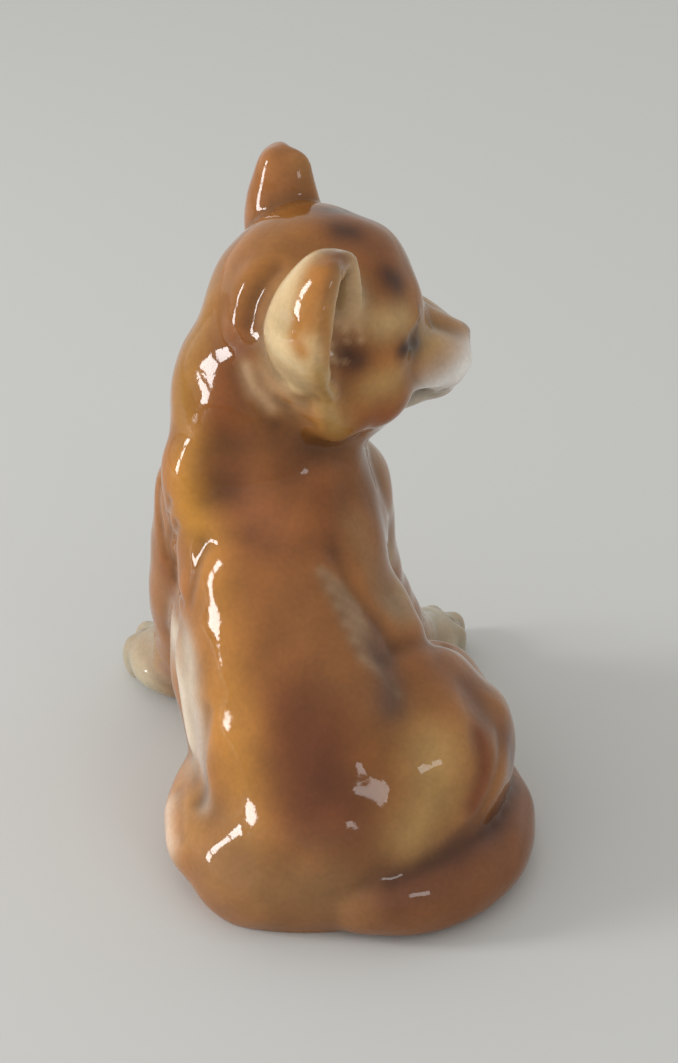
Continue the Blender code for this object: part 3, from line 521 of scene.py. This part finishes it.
# Forelegs. Solid columns luted on under the shoulders, ending in broad paws with four toes.
# The toes are one lump of clay repeated round an arc. The right leg is splayed further out than the left.
FOREPAW = (25, 19.5, 13)
TOES = 4
TOE_FAN_DEG = 55
TOE_INSET = 1.9
TOE_HALF_WIDTH = 3.4
TOE_HALF_LENGTH = 4.4
TOE_LIFT = 0.5
TOE_SIDES = 20
TOE_RINGS = 12
TOE_LINE_MARGIN = 2
TOE_LINE_TAPER = 0.8
PRESSED = 1.0
PAW_CREAM = (0.36, 0.31, 0.23)
PAW_CREAM_ENDS = (5, -9)


def baked(obj):
    """The object's mesh with its modifiers applied, in place of the old one."""
    graph = bpy.context.evaluated_depsgraph_get()
    made = bpy.data.meshes.new_from_object(obj.evaluated_get(graph))
    obj.modifiers.clear()
    obj.data = made
    return made


def node_tree(name, inputs):
    """A Geometry Nodes tree with these named inputs, and a function that adds a node to it."""
    tree = bpy.data.node_groups.new(name, "GeometryNodeTree")
    for title, kind in inputs:
        tree.interface.new_socket(title, in_out="INPUT", socket_type=kind)
    tree.interface.new_socket("Geometry", in_out="OUTPUT", socket_type="NodeSocketGeometry")

    def add(kind, *feeds, operation=None):
        """A node fed in the order of its sockets with nodes, sockets or values."""
        node = tree.nodes.new(kind)
        if operation:
            node.operation = operation
        for socket, feed in zip(node.inputs, feeds):
            if isinstance(feed, bpy.types.Node):
                tree.links.new(feed.outputs[0], socket)
            elif isinstance(feed, bpy.types.NodeSocket):
                tree.links.new(feed, socket)
            elif feed is not None:
                socket.default_value = feed
        return node

    return tree, add


def grown(tree, settings):
    """The points and faces that a tree makes with these settings."""
    shape = bpy.data.objects.new(tree.name, bpy.data.meshes.new(tree.name))
    bpy.context.scene.collection.objects.link(shape)
    maker = shape.modifiers.new(tree.name, "NODES")
    maker.node_group = tree
    for socket in tree.interface.items_tree:
        if socket.in_out == "INPUT":
            maker[socket.identifier] = settings[socket.name]
    made = baked(shape)
    points = [vertex.co.copy() for vertex in made.vertices]
    faces = [tuple(face.vertices) for face in made.polygons]
    bpy.data.objects.remove(shape)
    return points, faces


toe_tree, add = node_tree("toes", [
    ("Count", "NodeSocketInt"), ("Fan", "NodeSocketFloat"), ("Half Width", "NodeSocketFloat"),
    ("Half Length", "NodeSocketFloat"), ("Lift", "NodeSocketFloat"), ("Toe Radii", "NodeSocketVector"),
    ("Glaze", "NodeSocketMaterial"),
])
given = add("NodeGroupInput").outputs
last = add("ShaderNodeMath", given["Count"], 1, operation="SUBTRACT")
share = add("ShaderNodeMath", add("GeometryNodeInputIndex"), last, operation="DIVIDE")
other_end = add("ShaderNodeMath", given["Fan"], -1, operation="MULTIPLY")
angle = add("ShaderNodeMapRange", share, 0, 1, other_end, given["Fan"])
sine = add("ShaderNodeMath", angle, operation="SINE")
cosine = add("ShaderNodeMath", angle, operation="COSINE")
aside = add("ShaderNodeMath", sine, given["Half Width"], operation="MULTIPLY")
ahead = add("ShaderNodeMath", cosine, given["Half Length"], operation="MULTIPLY")
ahead = add("ShaderNodeMath", ahead, -1, operation="MULTIPLY")
spots = add("GeometryNodePoints", given["Count"], add("ShaderNodeCombineXYZ", aside, ahead, given["Lift"]))
toe = add("GeometryNodeMeshUVSphere", TOE_SIDES, TOE_RINGS, 1)
toes = add("GeometryNodeInstanceOnPoints", spots, None, toe, None, None, None, given["Toe Radii"])
toes = add("GeometryNodeRealizeInstances", toes)
add("NodeGroupOutput", add("GeometryNodeSetMaterial", toes, None, given["Glaze"]))


def paw(member, place, length, width, height):
    """A pad pressed a little into the table, with toes round its front and dark lines between them."""
    ball(member, (0, 0, height / 2 - PRESSED), (width / 2, length / 2, height / 2), place, FINE)
    points, faces = grown(toe_tree, {
        "Count": TOES, "Fan": math.radians(TOE_FAN_DEG), "Half Width": width / 2 - TOE_INSET,
        "Half Length": length / 2 - TOE_INSET, "Lift": height / 4 + TOE_LIFT,
        "Toe Radii": (TOE_HALF_WIDTH, TOE_HALF_LENGTH, height / 2 - PRESSED), "Glaze": finish[member]})
    press_on(member, [place @ point for point in points], faces, FINE)
    for x in (-width / 2, 0, width / 2):
        spray(PAW_CREAM, 1.0, 8, [(x, y, height - abs(x)) for y in PAW_CREAM_ENDS], place, (member,))
    for gap in range(TOES - 1):
        angle = math.radians(TOE_FAN_DEG) * (2 * (gap + 0.5) / (TOES - 1) - 1)
        x, y = width / 2 * math.sin(angle), -length / 2 * math.cos(angle)
        top = (TOE_LINE_TAPER * x, TOE_LINE_TAPER * y, height - TOE_LINE_MARGIN)
        line = [(x, y, TOE_LINE_MARGIN), top]
        tool(-0.5, 0.7, line, place)
        spray(UMBER, 0.6, 0.8, line, place, (member,))


for name, side, spread, splay, out in (
        ("left_foreleg", LEFT, 18.8, 17, (11.6, 3.4)), ("right_foreleg", RIGHT, 34.0, 38, (13.2, 4.4))):
    finish[name] = finish.get("left_foreleg") or glaze("foreleg_glaze")
    base_coat[name] = (0.26, 0.112, 0.043)
    top = SHOULDER + Vector((side * out[0], -7, -5))
    elbow = top + Vector((side * out[1], -4, -22))
    place = Matrix.Translation((SHOULDER.x + side * spread, SHOULDER.y - 32, 0)) @ Matrix.Rotation(
        math.radians(splay) * side, 4, "Z")
    ball(name, SHOULDER + Vector((side * 12, -2, -7)), (8.6, 9, 12.5))
    roll(name, [
        (top, 10.4, 12.4),
        (elbow, 9, 10),
        (place @ Vector((0, 10, 13)), 7.6, 7.6),
        (place @ Vector((0, 0, 6.5)), 7.6, 6.5),
    ], rounds=MIDDLE)
    paw(name, place, *FOREPAW)
ball("right_foreleg", SHOULDER + Vector((-15.5, 2, -14)), (6.2, 10, 17), rounds=MIDDLE)
FORELEG_SPRAYS = {
    "inside of the left leg": (RUST, 0.6, 2, [(163, 560), (172, 590), (178, 615)]),
    "right shoulder": ((0.21, 0.09, 0.038), 0.8, 6, [(368, 470), (382, 520)]),
    "back of the right leg": ((0.29, 0.15, 0.07), 0.8, 3.6, [(356, 525), (370, 560), (386, 600)]),
    "outside of the right leg": ((0.34, 0.215, 0.115), 0.9, 4, [(390, 555), (400, 610)]),
}
for one_pass in FORELEG_SPRAYS.values():
    spray(*one_pass)
FOLDS = 3
FOLD_START = (160, 480)
FOLD_STEP = (8, 22)
FOLD_REACH = [(0, 0), (0, 40), (6, 78)]
for fold in range(FOLDS):
    x, y = (start + step * fold for start, step in zip(FOLD_START, FOLD_STEP))
    tool(-0.5, 1.2, [(x + across, y + down) for across, down in FOLD_REACH])


# Hind legs. The right one is drawn up with its haunch against the flank, the left one lies low.
# Both are solid and luted on the rump, with heel and paw on the table.
RIGHT_HIP = SEAT + Vector((-11.5, -3, 9))
LEFT_HIP = SEAT + Vector((20.5, 3, -2))
HINDPAW = (23, 16, 11.5)
RIGHT_PAW_TURN = math.radians(-10)
LEFT_PAW_TURN = math.radians(6)

base_coat["right_hind_leg"] = base_coat["left_hind_leg"] = (0.30, 0.13, 0.047)
finish["right_hind_leg"] = finish["left_hind_leg"] = glaze("haunch_glaze")
knee = RIGHT_HIP + Vector((-8, -22, -1))
heel = Vector((RIGHT_HIP.x - 11, RIGHT_HIP.y - 6, 6.5))
place = Matrix.Translation((knee.x - 4, knee.y - 13, 0)) @ Matrix.Rotation(RIGHT_PAW_TURN, 4, "Z")
roll("right_hind_leg", [(RIGHT_HIP, 17.5, 19), ((RIGHT_HIP + knee) / 2, 17.5, 19), (knee, 12, 12)])
roll("right_hind_leg", [(knee, 7.5, 7.5), (heel, 7.5, 7.5)], rounds=MIDDLE)
roll("right_hind_leg", [(heel, 7.5, 7.5), (place @ Vector((0, 0, 5.75)), 8, 5.75)], rounds=SMALL)
paw("right_hind_leg", place, *HINDPAW)

knee = LEFT_HIP + Vector((-1, -27, 0))
place = Matrix.Translation((knee.x - 1, knee.y - 15, 0)) @ Matrix.Rotation(LEFT_PAW_TURN, 4, "Z")
roll("left_hind_leg", [
    (LEFT_HIP, 14.5, 10.2),
    ((LEFT_HIP + knee) / 2, 14.5, 10.2),
    (knee, 9.5, 9.5),
    (place @ Vector((0, 0, 5.75)), 8, 5.75),
])
paw("left_hind_leg", place, *HINDPAW)
HAUNCH_STROKES = {
    "hollow beside the haunch": (-0.6, 5, [(398, 658), (403, 700), (396, 740)]),
    "outer side of the haunch": (-1.8, 6, [(474, 648), (496, 668), (514, 700)]),
    "top edge of the haunch": (-0.9, 2.2, [(386, 656), (398, 645), (422, 640), (446, 643)]),
    "furrow beside the tail": (-0.5, 2.6, [(478, 735), (482, 770), (472, 805)]),
    "furrow of the left thigh": (-0.4, 1.4, [(178, 790), (181, 815), (180, 840)]),
}
for stroke in HAUNCH_STROKES.values():
    tool(*stroke)
HAUNCH_SPRAYS = {
    "top of the haunch": ((0.25, 0.095, 0.032), 0.9, 6, [(405, 655), (440, 662), (460, 685)]),
    # Painted shade: mauve along the haunch's inner edge, where it overlaps the flank.
    "painted shade at the inner edge of the haunch": (PAINTED_SHADE_MAUVE, 0.8, 2.6, [(374, 646), (385, 664), (391, 704)]),
    # Painted shade: grey-purple on the haunch's outer edge, which is turned away from the window.
    "painted shade on the outer edge of the haunch": ((0.17, 0.075, 0.043), 0.85, 4, [(470, 685), (482, 720)]),
    "pale swell of the haunch": ((0.39, 0.225, 0.09), 1.0, 6, [(434, 752), (434, 798), (414, 840)]),
    # Painted shade: dark colour along the furrow between haunch and tail.
    "furrow beside the tail": ((0.18, 0.052, 0.018), 0.9, 2.6, [(480, 735), (485, 770), (474, 805)]),
    "inner side of the left thigh": ((0.32, 0.16, 0.06), 0.85, 3, [(190, 795), (194, 835)]),
    # Painted highlight: pale pink on the outer side of the left thigh, which faces the window.
    "painted highlight on the outer side of the left thigh": ((0.53, 0.39, 0.30), 0.9, 3, [(167, 808), (169, 845)]),
}
for one_pass in HAUNCH_SPRAYS.values():
    spray(*one_pass)


# Tail. A tapering roll of clay from the rump, made of pats set close together round the right haunch.
# It is pressed onto the table and luted to the haunch along its length.
TAIL_MIDDLE = Vector((RIGHT_HIP.x + 4.5, RIGHT_HIP.y - 7, 0))
TAIL_ARC_DEG = (-30, 118)
TAIL_HALF_WIDTH = 22.5
TAIL_HALF_DEPTH = 27.0
TAIL_RADII = (8.5, 5.6)
TAIL_PATS = 36
PAT_RINGS = 20
TAIL_CREASE = [(503, 728), (497, 775), (478, 818), (440, 857), (395, 884)]
TAIL_DARK_PAINT_AND_SHADE = [(508, 740), (511, 790), (488, 834), (442, 870), (395, 893)]
TAIL_EDGE = [(532, 800), (517, 862), (462, 907)]

base_coat["tail"] = (0.20, 0.08, 0.033)
finish["tail"] = glaze("tail_glaze")
tail_tree, add = node_tree("tail_roll", [
    ("Pats", "NodeSocketInt"), ("Start", "NodeSocketFloat"), ("End", "NodeSocketFloat"),
    ("Half Width", "NodeSocketFloat"), ("Half Depth", "NodeSocketFloat"), ("Root Radius", "NodeSocketFloat"),
    ("Tip Radius", "NodeSocketFloat"), ("Pressed", "NodeSocketFloat"), ("Glaze", "NodeSocketMaterial"),
])
given = add("NodeGroupInput").outputs
last = add("ShaderNodeMath", given["Pats"], 1, operation="SUBTRACT")
share = add("ShaderNodeMath", add("GeometryNodeInputIndex"), last, operation="DIVIDE")
angle = add("ShaderNodeMapRange", share, 0, 1, given["Start"], given["End"])
radius = add("ShaderNodeMapRange", share, 0, 1, given["Root Radius"], given["Tip Radius"])
sine = add("ShaderNodeMath", angle, operation="SINE")
cosine = add("ShaderNodeMath", angle, operation="COSINE")
aside = add("ShaderNodeMath", sine, given["Half Width"], operation="MULTIPLY")
aside = add("ShaderNodeMath", aside, -1, operation="MULTIPLY")
behind = add("ShaderNodeMath", cosine, given["Half Depth"], operation="MULTIPLY")
lift = add("ShaderNodeMath", radius, given["Pressed"], operation="SUBTRACT")
spots = add("GeometryNodePoints", given["Pats"], add("ShaderNodeCombineXYZ", aside, behind, lift))
pat = add("GeometryNodeMeshUVSphere", RING_SIDES, PAT_RINGS, 1)
pats = add("GeometryNodeInstanceOnPoints", spots, None, pat, None, None, None, radius)
pats = add("GeometryNodeRealizeInstances", pats)
add("NodeGroupOutput", add("GeometryNodeSetMaterial", pats, None, given["Glaze"]))
points, faces = grown(tail_tree, {
    "Pats": TAIL_PATS, "Start": math.radians(TAIL_ARC_DEG[0]), "End": math.radians(TAIL_ARC_DEG[1]),
    "Half Width": TAIL_HALF_WIDTH, "Half Depth": TAIL_HALF_DEPTH, "Root Radius": TAIL_RADII[0],
    "Tip Radius": TAIL_RADII[1], "Pressed": PRESSED, "Glaze": finish["tail"]})
press_on("tail", [point + TAIL_MIDDLE for point in points], faces, SMALL)
tool(-0.4, 1.6, TAIL_CREASE)
# The dark band where the haunch overhangs the tail is partly the tail's dark brown paint and partly painted
# shade.
spray((0.13, 0.047, 0.024), 0.95, 4.5, TAIL_DARK_PAINT_AND_SHADE)
spray((0.18, 0.068, 0.028), 0.9, 4, TAIL_EDGE)


# Skin. The luted members are sponged into one surface: broad forms much, ears, muzzle and toes little.
# Creases are then drawn with a loop tool and low forms added with slip, along strokes laid on the surface.
VOXEL = 0.5
LEVELS = 60
LEVEL_BLEND = 12
STROKE_REACH = 3
STROKE_SETTLING = 3
FACING_GAIN, FACING_START = 2, 0.4
SPONGE_PRESSURE = 0.5
SHAKE_SEED = 7
SHAKES = 14
SHAKE_HEIGHT = 0.045
SHAKE_LENGTHS = (7, 16)
SHAKE_PHASES = (0, 6)
POUR_HOLE = (0.65, 20.6)
POUR_HOLE_RADIUS = 8
POUR_HOLE_DEPTH = 9

points, faces = [], []
for lumps in clay.values():
    for lump, lump_faces, rounds in lumps:
        start = len(points)
        points.extend(lump)
        faces.extend([tuple(start + k for k in face) for face in lump_faces])
mesh = bpy.data.meshes.new("skin")
mesh.from_pydata(points, [], faces)
skin = bpy.data.objects.new("skin", mesh)
bpy.context.scene.collection.objects.link(skin)
weld = skin.modifiers.new("weld", "REMESH")
weld.mode = "VOXEL"
weld.voxel_size = VOXEL
mesh = baked(skin)


def read(data, name, width):
    """A mesh's values of this name, so many to a row."""
    values = np.empty(len(data) * width, np.float32)
    data.foreach_get(name, values)
    return values.reshape(-1, width)


members = list(clay)
lump_points = [(members.index(member), rounds, point)
               for member, lumps in clay.items() for lump, _, rounds in lumps for point in lump]
finder = KDTree(len(lump_points))
for index, (_, _, point) in enumerate(lump_points):
    finder.insert(point, index)
finder.balance()
near = [lump_points[finder.find(vertex.co)[1]] for vertex in mesh.vertices]
owner = np.array([row[0] for row in near])
sponging = np.array([row[1] for row in near]) / BROAD
edges = read(mesh.edges, "vertices", 2).astype(int)
degree = np.bincount(edges.ravel(), minlength=len(near))[:, None]


def smoothed(values, rounds):
    """Values at the vertices, each round averaged over their neighbours."""
    for _ in range(rounds):
        total = [np.bincount(edges[:, 0], column[edges[:, 1]], len(near))
                 + np.bincount(edges[:, 1], column[edges[:, 0]], len(near)) for column in values.T]
        values = np.stack(total, 1) / degree
    return values


level = np.clip(np.round(smoothed(sponging[:, None], LEVEL_BLEND)[:, 0] * LEVELS), 1, LEVELS)
group = skin.vertex_groups.new(name="sponging")
for step in range(1, LEVELS + 1):
    group.add(np.flatnonzero(level == step).tolist(), step / LEVELS, "REPLACE")
sponge = skin.modifiers.new("sponge", "SMOOTH")
sponge.factor = SPONGE_PRESSURE
sponge.iterations = BROAD
sponge.vertex_group = "sponging"
mesh = baked(skin)


def laid(points, where):
    """The stroke's points and normals on the skin: along the camera's rays, or nearest to points in where."""
    spots = []
    for point in points:
        hit = False
        if where is None:
            aim = viewpoint + ray_through(point) * RANGE
            hit, spot, normal, _ = skin.ray_cast(viewpoint, aim - viewpoint)
        else:
            aim = where @ Vector(point)
        if not hit:
            _, spot, normal, _ = skin.closest_point_on_mesh(aim)
        spots.append((*spot, *normal))
    return np.array(spots)


def near_stroke(spots, reach):
    """The vertices within reach of a stroke, their distances, and how far they face its side of the clay."""
    low, high = spots[:, :3].min(0) - reach, spots[:, :3].max(0) + reach
    chosen = np.flatnonzero(np.all((at > low) & (at < high), 1))
    best = np.full(len(chosen), np.inf)
    facing = np.zeros(len(chosen))
    for start, end in zip(spots, spots[1:] if len(spots) > 1 else spots):
        way = end[:3] - start[:3]
        share = np.clip((at[chosen] - start[:3]) @ way / max(way @ way, 1e-9), 0, 1)[:, None]
        gap = np.linalg.norm(at[chosen] - start[:3] - share * way, axis=1)
        toward = np.sum(normals[chosen] * (start[3:] + share * (end[3:] - start[3:])), 1)
        facing = np.where(gap < best, toward, facing)
        best = np.minimum(best, gap)
    kept = best < reach
    return chosen[kept], best[kept], np.clip(facing[kept] * FACING_GAIN + FACING_START, 0, 1)


at = read(mesh.vertices, "co", 3).astype(float)
normals = read(mesh.vertex_normals, "vector", 3).astype(float)
for height, width, points, where in tooling:
    chosen, gap, facing = near_stroke(laid(points, where), STROKE_REACH * width)
    at[chosen] += normals[chosen] * (height * facing * np.exp(-(gap / width) ** 2))[:, None]
for _ in range(STROKE_SETTLING):
    at += SPONGE_PRESSURE * (smoothed(at, 1) - at)
shake = np.random.default_rng(SHAKE_SEED)
for _ in range(SHAKES):
    way = shake.normal(size=3)
    way *= 2 * math.pi / (shake.uniform(*SHAKE_LENGTHS) * np.linalg.norm(way))
    at += normals * (SHAKE_HEIGHT * np.sin(at @ way + shake.uniform(*SHAKE_PHASES)))[:, None]
ground = at[:, 2] <= 0
from_hole = np.linalg.norm(at[:, :2] - POUR_HOLE, axis=1)
at[:, 2] = np.where(ground, POUR_HOLE_DEPTH * np.clip(POUR_HOLE_RADIUS - from_hole, 0, 1), at[:, 2])
mesh.vertices.foreach_set("co", at.astype(np.float32).ravel())
mesh.update()
normals = read(mesh.vertex_normals, "vector", 3).astype(float)


# Colours. Each member gets its base coat, the coats fade into each other, and the spray gun's passes follow;
# some passes are painted shade, in creases, corners and on sides turned from the window, and one is a painted
# highlight on the left thigh.
# A honey-tinted glaze deepens the browns, pools in hollows and thins out over ridges. The seat stays bare.
BARE_CLAY = (0.56, 0.45, 0.36)
HONEY_TINT = (1, 1.07, 1.16)
COAT_BLEND = 40
SPRAY_REACH = 2.5
POOL_ROUNDS = 25
POOL_DEPTH = 1.2
POOL_LIMITS = (-0.18, 0.4)
PAINT_LIMITS = (0.01, 0.9)

paint = smoothed(np.array([base_coat[member] for member in members])[owner], COAT_BLEND)
for colour, strength, width, points, where, only in spraying:
    chosen, gap, facing = near_stroke(laid(points, where), SPRAY_REACH * width)
    share = strength * facing * np.exp(-(gap / width) ** 2)
    if only:
        share *= np.isin(owner[chosen], [members.index(name) for name in only])
    paint[chosen] += (np.array(colour) - paint[chosen]) * share[:, None]
fullest = paint.max(1)[:, None]
paint = fullest * (paint / fullest) ** HONEY_TINT
hollow = np.sum((smoothed(at, POOL_ROUNDS) - at) * normals, 1)
paint *= (1 - np.clip(POOL_DEPTH * hollow, *POOL_LIMITS))[:, None]
paint[ground] = BARE_CLAY
paint = np.clip(smoothed(paint, 1), *PAINT_LIMITS)


# Members again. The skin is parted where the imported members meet, each part is closed inside the joint, and
# keeps the normals of the whole skin, so that the luted joints don't show.
JOINT_BLEND = 40
quads = read(mesh.polygons, "vertices", 4).astype(int)
claims = smoothed(np.eye(len(members))[owner], JOINT_BLEND)
face_owner = claims[quads].sum(1).argmax(1)
for index, member in enumerate(members):
    own = quads[face_owner == index]
    used, corners = np.unique(own, return_inverse=True)
    own = corners.reshape(-1, 4)
    halves = np.concatenate([own[:, [k, (k + 1) % 4]] for k in range(4)])
    keys = halves[:, 0] * len(used) + halves[:, 1]
    open_halves = halves[~np.isin(keys, halves[:, 1] * len(used) + halves[:, 0])]
    loop = np.arange(len(used))
    settled = False
    while not settled:
        lowest = loop.copy()
        np.minimum.at(lowest, open_halves[:, 0], loop[open_halves[:, 1]])
        np.minimum.at(lowest, open_halves[:, 1], loop[open_halves[:, 0]])
        settled = np.all(lowest == loop)
        loop = lowest
    spots, lines, tints = at[used], normals[used], paint[used]
    caps = []
    for label in np.unique(loop[open_halves[:, 0]]):
        ring = open_halves[loop[open_halves[:, 0]] == label]
        caps.extend((b, a, len(spots)) for a, b in ring.tolist())
        middle = ring[:, 0]
        spots, lines, tints = (np.vstack([rows, rows[middle].mean(0)]) for rows in (spots, lines, tints))
    piece_mesh = bpy.data.meshes.new("glazed_" + member)
    piece_mesh.from_pydata((spots * MM).tolist(), [], own.tolist() + caps)
    piece_mesh.shade_smooth()
    colours = piece_mesh.attributes.new("paint", "FLOAT_COLOR", "POINT")
    tints = np.column_stack([tints, np.ones(len(tints))])
    colours.data.foreach_set("color", tints.astype(np.float32).ravel())
    piece_mesh.normals_split_custom_set_from_vertices(lines.tolist())
    piece_mesh.materials.append(finish[member])
    piece = bpy.data.objects.new("glazed_" + member, piece_mesh)
    bpy.context.scene.collection.objects.link(piece)
    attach(piece, "root")
    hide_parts(member)
bpy.data.objects.remove(skin)


# Table and light. A pale table, a window of two panes on the cub's left, a dim doorway behind the camera,
# and soft light from all round, stronger from the window's side.
TABLE_REACH = 3
TABLE_COLOUR = (0.60, 0.60, 0.59, 1)
WALL_COLOUR = (0.6, 0.6, 0.58, 1)
WALL_LIGHT = (0.95, 1.5)


def area_light(name, place, width, height, power):
    """A pane of light that faces the cub."""
    light = bpy.data.lights.new(name, "AREA")
    light.shape = "RECTANGLE"
    light.size = width
    light.size_y = height
    light.energy = power
    lamp = bpy.data.objects.new(name, light)
    bpy.context.scene.collection.objects.link(lamp)
    way = Vector(place) - AIM * MM
    lamp.matrix_world = Matrix.Translation(place) @ way.to_track_quat("Z", "Y").to_matrix().to_4x4()


area_light("upper_pane", place=(0.85, 0.01, 0.42), width=0.17, height=0.20, power=2.5)
area_light("lower_pane", place=(0.85, 0.01, 0.16), width=0.17, height=0.22, power=2.5)
area_light("doorway", place=(-0.30, 0.74, 0.32), width=0.14, height=0.14, power=0.35)
world = bpy.data.worlds.new("studio")
world.use_nodes = True
room = world.node_tree
wall = room.nodes["Background"]
wall.inputs["Color"].default_value = WALL_COLOUR
towards = room.nodes.new("ShaderNodeTexCoord")
parts = room.nodes.new("ShaderNodeSeparateXYZ")
room.links.new(towards.outputs["Generated"], parts.inputs["Vector"])
shade = room.nodes.new("ShaderNodeMapRange")
for socket, number in zip(("From Min", "From Max", "To Min", "To Max"), (-1, 1, *WALL_LIGHT)):
    shade.inputs[socket].default_value = number
room.links.new(parts.outputs["X"], shade.inputs["Value"])
room.links.new(shade.outputs["Result"], wall.inputs["Strength"])
bpy.context.scene.world = world

table_mesh = bpy.data.meshes.new("table_top")
corners = [(x * TABLE_REACH, y * TABLE_REACH, 0) for x, y in ((-1, -1), (1, -1), (1, 1), (-1, 1))]
table_mesh.from_pydata(corners, [], [(0, 1, 2, 3)])
table = bpy.data.objects.new("table_top", table_mesh)
bpy.context.scene.collection.objects.link(table)
table_paint = bpy.data.materials.new("table_paint")
table_paint.use_nodes = True
table_shader = table_paint.node_tree.nodes["Principled BSDF"]
table_shader.inputs["Base Color"].default_value = TABLE_COLOUR
table_shader.inputs["Roughness"].default_value = 0.9
table_mesh.materials.append(table_paint)

bpy.context.scene.view_settings.view_transform = "Standard"
